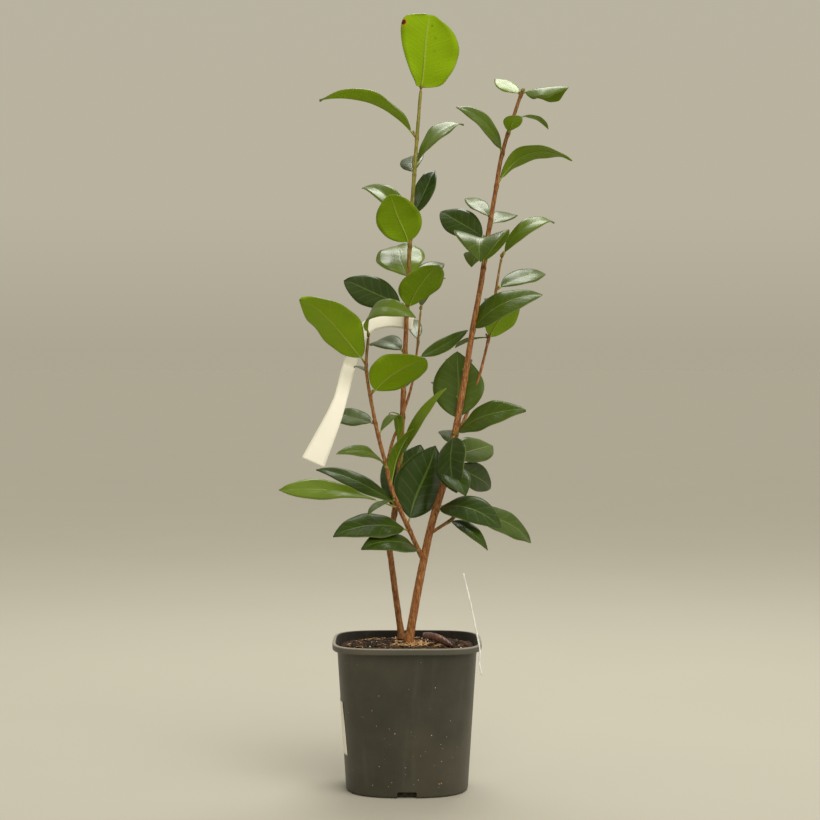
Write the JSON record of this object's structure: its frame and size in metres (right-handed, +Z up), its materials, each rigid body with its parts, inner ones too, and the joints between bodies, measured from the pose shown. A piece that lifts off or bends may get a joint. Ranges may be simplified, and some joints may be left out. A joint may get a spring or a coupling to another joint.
{
  "type": "potted shrub",
  "caption": "Young camellia shrub with upright stems and glossy evergreen leaves in a plain nursery pot.",
  "frame": {"origin": "centre of the pot's flat underside, on the ground", "axes": "+Z up along the plant, -Y towards the front that the picture shows, +X to the right seen from the front"},
  "size_m": [0.2724, 0.1521, 0.7251],
  "materials": {
    "pot_plastic": "dark olive grey, semi-matte moulded",
    "soil": "moist loose potting compost",
    "bark": "smooth reddish brown bark",
    "leaf": "glossy leathery leaf",
    "dry_leaf": "dry, curled and matte",
    "label": "blank, satin",
    "clear_plastic": "thin, milky clear"
  },
  "bodies": {
    "root": {"pot": "pot_plastic", "soil": "soil", "side_label": "label", "clear_strip": "clear_plastic", "dry_leaf": "dry_leaf", "hang_tag": "label", "left_stem": "bark", "right_stem": "bark", "inner_bough": "bark", "side_bough": "bark", "low_bough": "bark", "left_top_foliage": "leaf", "left_middle_foliage": "leaf", "left_lower_foliage": "leaf", "front_lower_foliage": "leaf", "front_upper_foliage": "leaf", "inner_foliage": "leaf", "right_lower_foliage": "leaf", "right_middle_foliage": "leaf", "right_upper_foliage": "leaf", "right_top_foliage": "leaf", "side_foliage": "leaf", "low_foliage": "leaf"}
  },
  "joints": []
}
